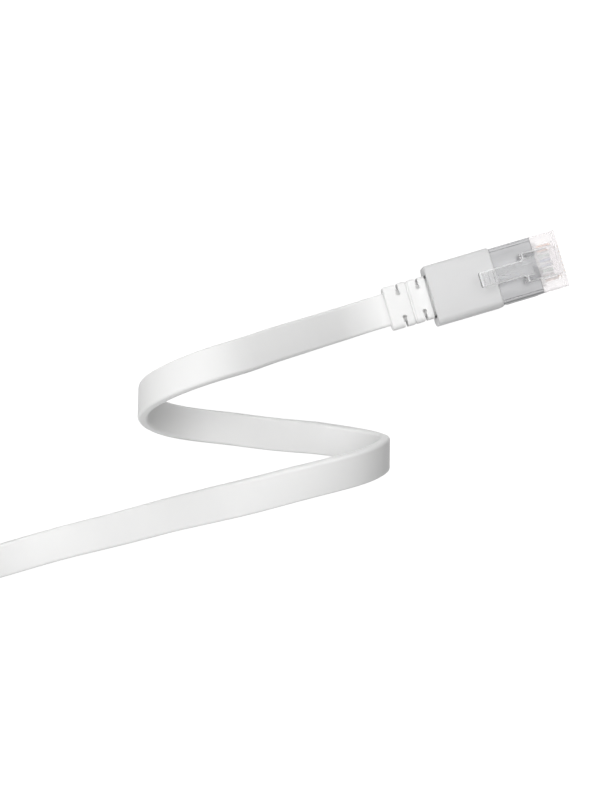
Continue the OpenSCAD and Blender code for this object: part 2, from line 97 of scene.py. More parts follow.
ROLL_SIDES, RIBS, RIB_D, RIB_PITCH, RIB_FIRST, RIB_SUNK, RIB_SHORT = 20, 3, 0.3, 1.1, 0.7, 0.05, 0.9
BLADE_ROUND, BLADE_POINT, POINT_HALF_W, POINTS_AT = 0.7, 0.75, 0.45, (0.72, 0.3)
CORE_HOLE, CORE_PLAY, WIRE_EDGE, WIRE_THIN = 0.6, 0.02, 0.04, 0.01
TIE_CLEAR, TIE_CORNER, TIE_EDGE, TIE_STEP = 0.6 * TIE_GAP, 0.9, 0.12, 0.8
BEVELS = {"strain_relief": 0.1, "latch": 0.09, "contacts": 0.05, "housing": 0.06}
WELD_REACH = 0.002

# ---------------------------------------------------------------- the cord's route
# x, y, height and lean of the cord's width, in degrees, along its two loops
RUN_POINTS = [
    (-18.25, 0, 4.2, 0), (-22.5, 0, 4.2, 0), (-27.1, -0.2, 5.8, -5), (-31.2, -0.4, 8.8, -10),
    (-35, -0.6, 11.8, -14), (-38.9, -0.8, 14.9, -17), (-43.4, -1, 18.4, -20), (-48.3, -1.5, 22.3, -21),
    (-52.9, -1.5, 25, -21), (-59.3, -1.8, 25.6, -19), (-65.1, -2.4, 23.3, -17), (-69.2, -3.3, 18.7, -14),
    (-70.8, -4.9, 13.3, -11), (-70, -6.9, 8.1, -10), (-67.5, -9, 4.3, -8), (-64.1, -10.8, 1.9, -5),
    (-60.1, -12.6, 0.9, -1), (-56, -14.2, 1.4, 6), (-47.4, -18.1, 1.9, 13), (-40.1, -20.8, 1.8, 18),
    (-36.8, -22.3, 2, 20), (-33.3, -23.9, 3.4, 20), (-30.2, -25.4, 6.1, 17), (-28, -26.7, 10.1, 15),
    (-27.2, -27.4, 15, 13), (-28.2, -27.7, 20, 12), (-31.3, -28.1, 24.7, 15), (-36.5, -27.9, 28, 18),
    (-44.6, -27.4, 29.5, 20), (-52.5, -27.3, 28.3, 19), (-57.9, -27.2, 25.7, 17), (-61.8, -27.1, 23.2, 13),
    (-65.4, -27.1, 20.4, 9), (-71.6, -27, 15.6, 5), (-82.1, -27.3, 8.6, 1), (-96, -27, 1.5, 0),
    (-105, -27, 1.5, 2), (-111, -27, 2, 14), (-116.5, -27, 3, 34), (-122, -27, 4, 56),
    (-127.5, -27, 4.4, 76), (-133.4, -27, 4.4, 90),
]
RINGS_PER_POINT, DRAW_IN_RINGS = 6, 23
COIL_STEP = 5.0     # degrees
COIL_CENTRE = Vector((-140.2, 13.9838, COIL_Z))


def ease(t):
    """Climbs from 0 to 1 and is level at both ends."""
    return t * t * (3 - 2 * t)


def spline(points):
    """(point, slope) along a uniform cubic B-spline that starts and ends on its end points."""
    p = [Vector(q) for q in points]
    q = [2 * p[0] - p[1], *p, 2 * p[-1] - p[-2]]
    out = []
    for i in range(len(p) - 1):
        a, b, c, d = q[i:i + 4]
        for s in range(RINGS_PER_POINT + (i == len(p) - 2)):
            t = s / RINGS_PER_POINT
            point = ((1 - t) ** 3 * a + (3 * t ** 3 - 6 * t * t + 4) * b
                     + (1 + 3 * t + 3 * t * t - 3 * t ** 3) * c + t ** 3 * d) / 6
            slope = (-(1 - t) ** 2 * a + (3 * t * t - 4 * t) * b
                     + (1 + 2 * t - 3 * t * t) * c + t * t * d) / 2
            out.append((point, slope))
    return out


def run_rings():
    """(centre, direction, direction of the cord's width) through the two loops."""
    rings = []
    for p, slope in spline(RUN_POINTS):
        along = slope.xyz.normalized()
        lean = math.radians(p[3])
        wide = math.cos(lean) * UP + math.sin(lean) * HEIGHT
        rings.append((p.xyz, along, (wide - wide.dot(along) * along).normalized()))
    return rings


def outward(angle):
    """Away from the coil's middle, at an angle round it."""
    return Vector((-math.sin(math.radians(angle)), -math.cos(math.radians(angle)), 0))


def onward(angle):
    """Along the coil's turn, at an angle round it."""
    return Vector((-math.cos(math.radians(angle)), math.sin(math.radians(angle)), 0))


def coil_radius(angle):
    return COIL_R - COIL_PITCH * angle / 360


def coil_rings():
    """The same through the coil, then the tighter bend inwards and the lead to the far plug."""
    end = 360 * COIL_TURNS
    rings = []
    for i in range(round(end / COIL_STEP) + 1):
        angle = i * COIL_STEP
        rings.append((COIL_CENTRE + coil_radius(angle) * outward(angle), onward(angle), HEIGHT))
    middle = COIL_CENTRE + (coil_radius(end) - DRAW_IN_R) * outward(end)
    for i in range(1, DRAW_IN_RINGS + 1):
        share = i / DRAW_IN_RINGS
        angle = end + share * DRAW_IN_TURN
        rise = (FAR_AXIS_Z - COIL_Z) * ease(share)
        rings.append((middle + DRAW_IN_R * outward(angle) + rise * HEIGHT, onward(angle), HEIGHT))
    last, along, _ = rings[-1]
    rings.append((last + FAR_LEAD * along, along, HEIGHT))
    return rings


# ---------------------------------------------------------------- outlines and meshes
def arc(cx, cy, r, start, end, n=4):
    """Points along an arc from one angle to another, in degrees."""
    angles = [math.radians(start + (end - start) * i / n) for i in range(n + 1)]
    return [(cx + r * math.cos(a), cy + r * math.sin(a)) for a in angles]


def circle(r, n):
    angles = [2 * math.pi * i / n for i in range(n)]
    return [(r * math.cos(a), r * math.sin(a)) for a in angles]


def rounded(w, h, r, n=5, fold=None):
    """Points round a rectangle with round corners.

    fold is (from the middle, width, depth) of two small grooves in its top and two in its bottom."""
    points = []
    for cx, cy, start in ((1, 1, 0), (-1, 1, 90), (-1, -1, 180), (1, -1, 270)):
        points += arc(cx * (w / 2 - r), cy * (h / 2 - r), r, start, start + 90, n)
        if fold and start in (0, 180):
            y, width, depth = fold
            for side in (1, -1):
                for k, down in ((1, 0), (0, depth), (-1, 0)):
                    points.append((cx * (side * y + k * width / 2), cy * (h / 2 - down)))
    return points


def running(points):
    """The length along a line up to each of its points."""
    total = [0.0]
    for a, b in zip(points, points[1:]):
        total.append(total[-1] + math.dist(a, b))
    return total


def tube(rings, closed=False):
    """Vertices and faces of a skin over rings of equally many points. An open one is capped."""
    n, count = len(rings[0]), len(rings)
    verts = [v for ring in rings for v in ring]
    faces = []
    for i in range(count if closed else count - 1):
        a, b = i * n, (i + 1) % count * n
        faces += [(a + j, a + (j + 1) % n, b + (j + 1) % n, b + j) for j in range(n)]
    if not closed:
        faces += [tuple(range(n))[::-1], tuple(range((count - 1) * n, count * n))]
    return verts, faces


def prism(outline, low, high, point):
    """Vertices and faces of a plate between two levels. point(a, b, level) places a corner."""
    n = len(outline)
    verts = [point(a, b, level) for level in (low, high) for a, b in outline]
    sides = [(i, (i + 1) % n, n + (i + 1) % n, n + i) for i in range(n)]
    return verts, [tuple(range(n))[::-1], tuple(range(n, 2 * n))] + sides


def joined(parts):
    """Several (verts, faces) in one."""
    verts, faces = [], []
    for v, f in parts:
        start = len(verts)
        verts += v
        faces += [tuple(i + start for i in face) for face in f]
    return verts, faces


def shade(mesh, sharp_from):
    mesh.shade_smooth()
    mesh.set_sharp_from_angle(angle=math.radians(sharp_from))
    return mesh


def mesh_of(name, verts, faces, sharp_from=40):
    mesh = bpy.data.meshes.new(name)
    mesh.from_pydata([tuple(v) for v in verts], [], faces)
    mesh.update()
    return shade(mesh, sharp_from)


def put(name, mesh, place=None):
    o = bpy.data.objects.new(name, mesh)
    bpy.context.scene.collection.objects.link(o)
    if place is not None:
        o.matrix_world = place
    return o


def face_out(o):
    """Turns a closed mesh's faces outwards."""
    mesh = o.data
    volume = 0.0
    for poly in mesh.polygons:
        a = mesh.vertices[poly.vertices[0]].co
        for i in range(1, len(poly.vertices) - 1):
            b, c = (mesh.vertices[poly.vertices[k]].co for k in (i, i + 1))
            volume += a.dot(b.cross(c))
    if volume < 0:
        mesh.flip_normals()


def solve(o, operation, tools):
    """The mesh of o after cutting or joining with other pieces, all of which are used up."""
    for tool in tools:
        m = o.modifiers.new("solve", "BOOLEAN")
        m.operation, m.object, m.solver = operation, tool, "EXACT"
    bpy.context.view_layer.update()
    mesh = bpy.data.meshes.new_from_object(o.evaluated_get(bpy.context.evaluated_depsgraph_get()))
    for used in (o, *tools):
        bpy.data.objects.remove(used)
    return shade(mesh, 35)


def bevelled(o, width, angle=35, slot=-1):
    """Rounds the sharp edges. slot is the material of the new faces, or -1 for their neighbours'."""
    m = o.modifiers.new("edges", "BEVEL")
    m.width, m.segments = width * MM, 2
    m.limit_method, m.angle_limit = "ANGLE", math.radians(angle)
    m.harden_normals, m.material = True, slot


# ---------------------------------------------------------------- the cable, one unbroken flat cord
rings = run_rings() + coil_rings()
section = rounded(CABLE_W, CABLE_T, CABLE_CORNER)
skins = [[(c + y * wide + z * wide.cross(along)) * MM for y, z in section] for c, along, wide in rings]
cable_mesh = mesh_of("cable", *tube(skins))
CABLE_PATH = [c * MM for c, _, _ in rings]
stations = running(CABLE_PATH)
girth = 2 * (CABLE_W + CABLE_T) * MM
uv = cable_mesh.uv_layers.new(name="along")
n = len(section)
for poly in cable_mesh.polygons:
    at_seam = any(cable_mesh.loops[k].vertex_index % n == n - 1 for k in poly.loop_indices)
    for k in poly.loop_indices:
        ring, around = divmod(cable_mesh.loops[k].vertex_index, n)
        if around == 0 and at_seam:
            around = n
        uv.data[k].uv = (stations[ring], around / n * girth)
cable = put("cable", cable_mesh)


# ---------------------------------------------------------------- materials
def maths(tree, operation, *values):
    """The output of a Math node on numbers or other nodes' outputs."""
    node = tree.nodes.new("ShaderNodeMath")
    node.operation = operation
    for socket, value in zip(node.inputs, values):
        if isinstance(value, (int, float)):
            socket.default_value = value
        else:
            tree.links.new(value, socket)
    return node.outputs[0]


def switch(tree, which, off, on):
    """Shows one shader where which is 0 and another where it is 1."""
    mix = tree.nodes.new("ShaderNodeMixShader")
    for socket, output in zip(mix.inputs, (which, off, on)):
        tree.links.new(output, socket)
    return mix.outputs[0]


class Surface:
    """A Principled material whose colour, roughness and relief wander with noise."""

    def __init__(self, name, colour, roughness, coords="Object", **sockets):
        self.mat = bpy.data.materials.new(name)
        self.mat.use_nodes = True
        self.tree = self.mat.node_tree
        self.shader = self.tree.nodes["Principled BSDF"]
        self.shader.inputs["Base Color"].default_value = (*colour, 1)
        self.shader.inputs["Roughness"].default_value = roughness
        for socket, value in sockets.items():
            self.shader.inputs[socket.replace("_", " ")].default_value = value
        self.colour, self.normal = colour, None
        self.source = self.add("ShaderNodeTexCoord").outputs[coords]

    def add(self, kind, **inputs):
        node = self.tree.nodes.new(kind)
        for name, value in inputs.items():
            node.inputs[name].default_value = value
        return node

    def link(self, output, socket):
        self.tree.links.new(output, socket)

    def noise(self, scale, stretch, detail=3.0):
        place = self.add("ShaderNodeMapping", Scale=stretch)
        self.link(self.source, place.inputs["Vector"])
        noise = self.add("ShaderNodeTexNoise", Scale=scale, Detail=detail, Roughness=0.55)
        self.link(place.outputs["Vector"], noise.inputs["Vector"])
        return noise.outputs["Fac"]

    def spread(self, value, low, high):
        """Noise, which mostly stays between 0.3 and 0.7, spread over a range."""
        out = self.tree.nodes.new("ShaderNodeMapRange")
        out.inputs["From Min"].default_value, out.inputs["From Max"].default_value = 0.3, 0.7
        out.inputs["To Min"].default_value, out.inputs["To Max"].default_value = low, high
        self.link(value, out.inputs["Value"])
        return out.outputs["Result"]

    def mottle(self, other, scale, stretch=(1, 1, 1)):
        """Colour that wanders between the base colour and another."""
        mix = self.tree.nodes.new("ShaderNodeMix")
        mix.data_type = "RGBA"
        mix.inputs["A"].default_value, mix.inputs["B"].default_value = (*self.colour, 1), (*other, 1)
        self.link(self.spread(self.noise(scale, stretch, 4.0), 0, 1), mix.inputs["Factor"])
        self.link(mix.outputs["Result"], self.shader.inputs["Base Color"])
        return self

    def rub(self, low, high, scale, stretch=(1, 1, 1)):
        """Roughness that wanders between two values."""
        self.link(self.spread(self.noise(scale, stretch), low, high), self.shader.inputs["Roughness"])
        return self

    def relief(self, height, scale, stretch=(1, 1, 1), detail=3.0, strength=1.0):
        """Bump of a given height in metres. Calls add up."""
        return self.bump(self.noise(scale, stretch, detail), height, strength)

    def bump(self, value, height, strength):
        bump = self.add("ShaderNodeBump", Strength=strength, Distance=height)
        self.link(value, bump.inputs["Height"])
        if self.normal is not None:
            self.link(self.normal, bump.inputs["Normal"])
        self.normal = bump.outputs["Normal"]
        self.link(self.normal, self.shader.inputs["Normal"])
        return self


def clear_plastic(name, colour, haze, low, high, wave=0.000002):
    """Moulded polycarbonate that lets light through to what lies in its shadow.

    haze is the share that scatters light, low and high its roughness, wave its relief in metres."""
    s = Surface(name, colour, low, IOR=1.5, Transmission_Weight=1 - haze)
    s.relief(wave, 700).rub(low, high, 500)
    passed = s.add("ShaderNodeBsdfTransparent", Color=(0.93, 0.93, 0.93, 1))
    in_shadow = s.add("ShaderNodeLightPath").outputs["Is Shadow Ray"]
    look = switch(s.tree, in_shadow, s.shader.outputs[0], passed.outputs[0])
    s.link(look, s.tree.nodes["Material Output"].inputs["Surface"])
    return s.mat


def woven():
    """Hook-and-loop strap: a fine weave under short loops of yarn."""
    s = Surface("tie_fabric", (0.74, 0.74, 0.75), 0.85, coords="UV", Sheen_Weight=0.35, Sheen_Roughness=0.5)
    s.mottle((0.62, 0.62, 0.64), 2600)
    threads = []
    for direction in ("X", "Y"):
        wave = s.add("ShaderNodeTexWave", Scale=1500.0, Distortion=1.2, Detail=1.0)
        wave.bands_direction = direction
        s.link(s.source, wave.inputs["Vector"])
        threads.append(wave.outputs["Fac"])
    s.bump(maths(s.tree, "MAXIMUM", *threads), 0.00008, 0.8)
    s.relief(0.00012, 5200, detail=2.0, strength=0.7)
    return s.mat


MAT = {
    "cable_jacket": Surface("cable_jacket", (0.81, 0.81, 0.805), 0.55, coords="UV")
        .mottle((0.79, 0.79, 0.787), 260, (0.4, 1, 1)).rub(0.5, 0.62, 700, (0.3, 1, 1))
        .relief(0.000014, 900, (0.05, 1, 1)).relief(0.00001, 9000).mat,
    "hood_plastic": Surface("hood_plastic", (0.64, 0.64, 0.642), 0.42)
        .mottle((0.635, 0.635, 0.638), 300).rub(0.36, 0.5, 600).relief(0.000016, 9000, detail=2.0).mat,
    "relief_plastic": Surface("relief_plastic", (0.83, 0.83, 0.828), 0.55)
        .mottle((0.84, 0.84, 0.835), 400).rub(0.48, 0.62, 700).relief(0.000014, 7000).mat,
    "shield_metal": Surface("shield_metal", (0.236, 0.236, 0.24), 0.3, Metallic=1.0, Anisotropic=0.3)
        .mottle((0.297, 0.297, 0.303), 420, (0.25, 1, 1)).rub(0.26, 0.36, 900, (0.06, 1, 1))
        .relief(0.000006, 6500, (0.03, 1, 1)).mat,
    "contact_gold": Surface("contact_gold", (0.86, 0.66, 0.32), 0.24, Metallic=1.0)
        .mottle((0.80, 0.60, 0.30), 1500).rub(0.18, 0.34, 2500).relief(0.000004, 8000).mat,
    "copper": Surface("copper", (0.80, 0.47, 0.33), 0.3, Metallic=1.0)
        .mottle((0.72, 0.40, 0.28), 2500).relief(0.000004, 9000).mat,
    "load_bar_plastic": Surface("load_bar_plastic", (0.84, 0.84, 0.83), 0.35, Transmission_Weight=0.25)
        .mottle((0.80, 0.80, 0.79), 700).relief(0.000008, 3000).mat,
    "clear_plastic": clear_plastic("clear_plastic", (0.84, 0.82, 0.826), 0.27, 0.03, 0.08),
    "clear_latch": clear_plastic("clear_latch", (0.8, 0.8, 0.805), 0.04, 0.02, 0.04, wave=0.0000003),
    "clear_edge": clear_plastic("clear_edge", (0.86, 0.86, 0.865), 0.7, 0.3, 0.4),
    "tie_fabric": woven(),
}
WIRE_COLOURS = {"white": (0.86, 0.86, 0.84), "orange": (0.88, 0.50, 0.32), "green": (0.36, 0.60, 0.42),
                "blue": (0.34, 0.46, 0.72), "brown": (0.50, 0.35, 0.28)}
for name, colour in WIRE_COLOURS.items():
    wire = Surface("wire_" + name, colour, 0.32)
    darker = tuple(0.92 * c for c in colour)
    MAT["wire_" + name] = wire.mottle(darker, 2000).relief(0.000006, 5000).mat

PAINTS = {"hood": ["hood_plastic"], "shield": ["shield_metal"], "strain_relief": ["relief_plastic"],
          "latch": ["clear_latch", "clear_edge"], "contacts": ["contact_gold"],
          "wires": ["wire_" + name for name in WIRE_COLOURS]}


def paint(o, names):
    """Adds those of the named materials that the mesh hasn't yet, in their order."""
    for name in names[len(o.data.materials):]:
        o.data.materials.append(MAT[name])


# ---------------------------------------------------------------- plug pieces, in the near plug's own place
def at(behind, y, z):
    """A point some way behind the plug's nose, in metres."""
    return Vector((NOSE_X - behind, y, z)) * MM


def ring_at(behind, w, h, r, fold=None):
    return [at(behind, y, AXIS_Z + z) for y, z in rounded(w, h, r, fold=fold)]


def filleted(front, back, w, h, r, edge):
    """The rings of a bar's front end and those of its back end, both filleted by edge."""
    def ring(behind, inset):
        return ring_at(behind, w - 2 * inset, h - 2 * inset, max(r - inset, LEAST_CORNER))
    angles = [math.radians(90 * i / FILLET_STEPS) for i in range(FILLET_STEPS + 1)]
    rows = [(edge * (1 - math.sin(a)), edge * (1 - math.cos(a))) for a in angles]
    return ([ring(front + d, inset) for d, inset in reversed(rows)],
            [ring(back - d, inset) for d, inset in rows])


def scratch(name, verts, faces):
    """An object that solve uses up."""
    return put(name, mesh_of(name, verts, faces))


def hood_mesh():
    front, back = filleted(HOOD_FRONT, HOOD_BACK, HOOD_W, HOOD_H, HOOD_CORNER, HOOD_EDGE)
    mouth = [ring_at(HOOD_FRONT + d, BODY_W + BODY_PLAY, BODY_H + BODY_PLAY, BODY_CORNER)
             for d in (MOUTH_DEPTH, MOUTH_EDGE)]
    hole = [ring_at(HOOD_BACK - d, RELIEF_W + RELIEF_PLAY, RELIEF_H + RELIEF_PLAY, RELIEF_CORNER)
            for d in (MOUTH_EDGE, BACK_DEPTH)]
    return mesh_of("hood", *tube(mouth + front + back + hole))


def shield_mesh():
    """A folded sleeve with a spring at each side."""
    front = NOSE_CLEAR + SNUG
    inner_w, inner_h = BODY_W - 2 * SHIELD_T, BODY_H - 2 * SHIELD_T
    sleeve = [ring_at(d, inner_w, inner_h, SHIELD_INNER_CORNER, SHIELD_FOLD) for d in (BODY_LEN, front)]
    sleeve.append(ring_at(front, BODY_W - 2 * SHIELD_EDGE, BODY_H - 2 * SHIELD_EDGE,
                          BODY_CORNER - SHIELD_EDGE, SHIELD_FOLD))
    sleeve += [ring_at(d, BODY_W, BODY_H, BODY_CORNER, SHIELD_FOLD)
               for d in (front + SHIELD_EDGE_LEN, BODY_LEN + SHIELD_T)]
    parts = [tube(sleeve)]
    for side in (-1, 1):
        parts.append(prism(SPRING, BODY_W / 2 - SPRING_SUNK, BODY_W / 2 + SPRING_PROUD,
                           lambda a, b, level: at(a, side * level, b)))
    return mesh_of("shield", *joined(parts), sharp_from=30)


def relief_slot(behind, side):
    """What is cut from one side of the strain relief: a slot with a round end."""
    inner, outer = RELIEF_W / 2 - SLOT_DEPTH, RELIEF_W / 2 + SLOT_OUT
    reach = math.degrees(math.asin(SLOT_W / 2 / SLOT_END_R))
    outline = [(behind - SLOT_W / 2, outer), *arc(behind, inner, SLOT_END_R, 90 + reach, 450 - reach, 14),
               (behind + SLOT_W / 2, outer)]
    o = scratch("slot", *prism(outline, -SLOT_OVER, HOOD_H + SLOT_OVER,
                               lambda a, b, level: at(a, side * b, level)))
    face_out(o)
    return o


def relief_mesh():
    """A sleeve set back from the hood by a dark gap, with a waist between its two pairs of slots."""
    front = HOOD_BACK + SHADOW_GAP
    neck = [ring_at(d, RELIEF_W - 2 * GAP_DEPTH, RELIEF_H - 2 * GAP_DEPTH, RELIEF_CORNER)
            for d in (HOOD_BACK - BACK_DEPTH, front)]
    face = ring_at(front, RELIEF_W - 2 * RELIEF_FRONT_EDGE, RELIEF_H - 2 * RELIEF_FRONT_EDGE,
                   RELIEF_CORNER - RELIEF_FRONT_EDGE)
    middle = HOOD_BACK + SLOT_FIRST + SLOT_PITCH / 2
    waist = [ring_at(middle + d, RELIEF_W - 2 * WAIST_AT_SIDES * by, RELIEF_H - 2 * by,
                     RELIEF_CORNER - WAIST_AT_CORNERS * by) for d, by in WAIST]
    _, back = filleted(front, PLUG_LEN, RELIEF_W, RELIEF_H, RELIEF_CORNER, RELIEF_EDGE)
    o = scratch("relief", *tube([*neck, face, *waist, *back]))
    first = HOOD_BACK + SLOT_FIRST
    slots = [relief_slot(d, side) for d in (first, first + SLOT_PITCH) for side in (-1, 1)]
    return solve(o, "DIFFERENCE", slots)


def latch_point(x, y, z):
    """A point from the latch's own axes: x along the beam from its root, z square to the beam."""
    turn = math.radians(LATCH_ANGLE)
    return at(ROOT_BACK - (x * math.cos(turn) + z * math.sin(turn)), y,
              AXIS_Z + BODY_H / 2 + ROOT_RISE - x * math.sin(turn) + z * math.cos(turn))


def latch_outline(inset):
    """The beam and its narrower finger tab from above, drawn in by inset."""
    wide, slim = LATCH_W / 2, LATCH_TAB_W / 2
    half = [(0, wide - inset)]
    half += arc(-LATCH_SHOULDER + LATCH_CORNER, wide - LATCH_CORNER, LATCH_CORNER - inset, 90, 180)
    half += arc(-LATCH_SHOULDER - LATCH_FILLET, slim + LATCH_FILLET, LATCH_FILLET + inset, 0, -90)
    half += arc(-LATCH_LEN + TAB_CORNER, slim - TAB_CORNER, TAB_CORNER - inset, 90, 180)
    return half + [(x, -y) for x, y in reversed(half)]


def latch_roll(x, z, d, w):
    """A round bar across the latch."""
    ends = [[latch_point(x + a, y, z + b) for a, b in circle(d / 2, ROLL_SIDES)] for y in (-w / 2, w / 2)]
    return scratch("roll", *tube(ends))


def latch_step(side):
    """One of the two locking steps. Its cut edges are frosted."""
    width = (LATCH_W - LATCH_TAB_W) / 2 - STEP_PLAY
    middle = side * (LATCH_W - width) / 2
    top, back = LATCH_T / 2 + LATCH_STEP, -LATCH_SHOULDER + STEP_PLAY
    layers = []
    for y, inset in ((-width / 2, STEP_EDGE), (-width / 2 + STEP_EDGE, 0),
                     (width / 2 - STEP_EDGE, 0), (width / 2, STEP_EDGE)):
        outline = [(back + inset, 0), (back + inset, top - STEP_CUT), (back + STEP_CUT, top - inset),
                   (back + STEP_FLAT, top - inset), (back + STEP_LEN - inset, 0)]
        layers.append([latch_point(a, middle + y, b) for a, b in outline])
    o = scratch("step", *tube(layers))
    for index, poly in enumerate(o.data.polygons):
        layer, face = divmod(index, len(layers[0]))
        poly.material_index = layer in (0, 2) or (layer, face) == (1, 1)
    return o


def latch_mesh():
    """Beam with a round root, two locking steps and a ribbed tab. The edge of its top is frosted."""
    levels = ((0, -LATCH_T / 2), (0, LATCH_T / 2 - LATCH_EDGE_DROP), (LATCH_EDGE, LATCH_T / 2))
    layers = [[latch_point(x, y, level) for x, y in latch_outline(inset)] for inset, level in levels]
    beam = scratch("beam", *tube(layers))
    for index, poly in enumerate(beam.data.polygons):
        poly.material_index = index // len(layers[0]) == 1
    pieces = [latch_roll(0, 0, 2 * ROOT_R, LATCH_W - STEP_PLAY), latch_step(-1), latch_step(1)]
    for i in range(RIBS):
        pieces.append(latch_roll(-LATCH_LEN + RIB_FIRST + RIB_PITCH * i, LATCH_T / 2 - RIB_SUNK, RIB_D,
                                 LATCH_TAB_W - RIB_SHORT))
    for o in (beam, *pieces):
        face_out(o)
        paint(o, PAINTS["latch"])
    return solve(beam, "UNION", pieces)


PLACES = range(1, 9)


def in_row(k, pitch):
    """How far the kth of eight places is from the plug's middle."""
    return (4.5 - k) * pitch


def contacts_mesh():
    """Eight blades with two points each towards the wires."""
    low = AXIS_Z - BODY_H / 2 + CONTACT_RECESS
    top = AXIS_Z - WIRE_D / 2 - SNUG
    shelf, end = top - BLADE_POINT, CONTACT_BACK + CONTACT_LEN
    outline = arc(CONTACT_BACK + BLADE_ROUND, low + BLADE_ROUND, BLADE_ROUND, 180, 270, 6)
    outline += [(end, low), (end, shelf)]
    for share in POINTS_AT:
        middle = CONTACT_BACK + share * CONTACT_LEN
        outline += [(middle + POINT_HALF_W, shelf), (middle, top), (middle - POINT_HALF_W, shelf)]
    outline.append((CONTACT_BACK, shelf))
    parts = []
    for k in PLACES:
        y = in_row(k, CONTACT_PITCH)
        parts.append(prism(outline, y - CONTACT_T / 2, y + CONTACT_T / 2,
                           lambda a, b, level: at(a, level, b)))
    return mesh_of("contacts", *joined(parts), sharp_from=25)


# each place's colour, as its number in WIRE_COLOURS, in the usual order of pairs
PAIR = {1: 1, 2: 1, 3: 2, 4: 3, 5: 3, 6: 2, 7: 4, 8: 4}
WIRE_SIDES, STRIPED_SIDES, CUT_RINGS, FAN_STEPS = 16, (3, 4, 11, 12), 2, 12


def wire_line(k):
    """(behind, y, radius) along a wire: the hole for its core, the insulation, the fan to the jacket."""
    wide, close = in_row(k, CONTACT_PITCH), in_row(k, JACKET_PITCH)
    full, hole = WIRE_D / 2, CORE_D / 2 + CORE_PLAY
    line = [(WIRE_BACK + CORE_HOLE, wide, hole), (WIRE_BACK, wide, hole), (WIRE_BACK, wide, full - WIRE_EDGE),
            (WIRE_BACK + WIRE_EDGE, wide, full), (BAR_END, wide, full)]
    for i in range(1, FAN_STEPS):
        t = i / FAN_STEPS
        y = wide + (close - wide) * ease(t)
        line.append((BAR_END + t * (JACKET_BACK - BAR_END), y, full - WIRE_THIN))
    return line + [(JACKET_BACK, close, full), (JACKET_BACK + JACKET_GRIP, close, full)]


def wires_mesh():
    """Eight insulated wires. The odd ones are white with two stripes of their pair's colour."""
    parts, slots = [], []
    for k in PLACES:
        rings = [[at(d, y + a, AXIS_Z + b) for a, b in circle(r, WIRE_SIDES)] for d, y, r in wire_line(k)]
        verts, faces = tube(rings)
        parts.append((verts, faces))
        for index in range(len(faces)):
            ring, side = divmod(index, WIRE_SIDES)
            coloured = k % 2 == 0 or (side in STRIPED_SIDES and ring > CUT_RINGS)
            slots.append(PAIR[k] if coloured else 0)
    mesh = mesh_of("wires", *joined(parts))
    mesh.polygons.foreach_set("material_index", slots)
    return mesh


# ---------------------------------------------------------------- both plugs, the far one on its side
FAR_TURN = math.radians(-25)
FAR_PLACE = (Matrix.Translation(CABLE_PATH[-1]) @ Matrix.Rotation(FAR_TURN, 4, "Z")
             @ Matrix.Rotation(math.radians(90), 4, "X")
             @ Matrix.Translation(Vector((PLUG_LEN / 2, 0, -AXIS_Z)) * MM))
PLACE = {"near": Matrix.Identity(4), "far": FAR_PLACE}
MESHES = {"hood": hood_mesh(), "shield": shield_mesh(), "strain_relief": relief_mesh(), "latch": latch_mesh(),
          "contacts": contacts_mesh(), "wires": wires_mesh()}
KEPT = {"housing": "clear_plastic", "load_bar": "load_bar_plastic", "jacket_end": "cable_jacket",
        "copper_cores": "copper"}
plugs = {}
for end in ENDS:
    pieces = plugs[end] = []
    for name, mesh in MESHES.items():
        o = put(f"{end}_{name}_detail", mesh, PLACE[end])
        paint(o, PAINTS[name])
        if name in BEVELS:
            bevelled(o, BEVELS[name], slot=1 if name == "latch" else -1)
        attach(o, f"{end}_latch" if name == "latch" else "root")
        if name in ("contacts", "wires"):
            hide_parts(*(f"{end}_{name[:-1]}_{k}" for k in PLACES))
        else:
            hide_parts(f"{end}_{name}")
        pieces.append(o)
    for name, mat in KEPT.items():
        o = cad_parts[f"{end}_{name}"]
        for s in o.material_slots:
            s.material = MAT[mat]
        pieces.append(o)
    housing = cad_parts[f"{end}_housing"]
    housing.modifiers.new("weld", "WELD").merge_threshold = WELD_REACH * MM
    bevelled(housing, BEVELS["housing"], angle=40)

# ---------------------------------------------------------------- the coil's two straps
TIE_ANGLES = (37.5, 217.5)
# across the strap, and out from its middle line in parts of its thickness
TIE_SECTION = [(side * (TIE_W / 2 - inset), out) for side, inset, out in (
    (-1, TIE_EDGE, 0.5), (-1, 0, 0.3), (-1, 0, -0.3), (-1, TIE_EDGE, -0.5),
    (1, TIE_EDGE, -0.5), (1, 0, -0.3), (1, 0, 0.3), (1, TIE_EDGE, 0.5))]


def tie_line(angle):
    """The strap's closed middle line round the cord's turns: (distance from the coil's middle, height)."""
    turns = math.floor(COIL_TURNS - angle / 360)
    outer = coil_radius(angle) + CABLE_T / 2 + TIE_CLEAR
    inner = coil_radius(angle + 360 * turns) - CABLE_T / 2 - TIE_CLEAR
    height = CABLE_W + 2 * TIE_GAP
    x, z = (outer + inner) / 2, TIE_T + height / 2
    loop = [(x + a, z + b) for a, b in rounded(outer - inner + TIE_T, height + TIE_T, TIE_CORNER, 6)]
    line = []
    for a, b in zip(loop, loop[1:] + loop[:1]):
        steps = max(1, int(math.dist(a, b) / TIE_STEP))
        line += [(a[0] + (b[0] - a[0]) * i / steps, a[1] + (b[1] - a[1]) * i / steps) for i in range(steps)]
    return line


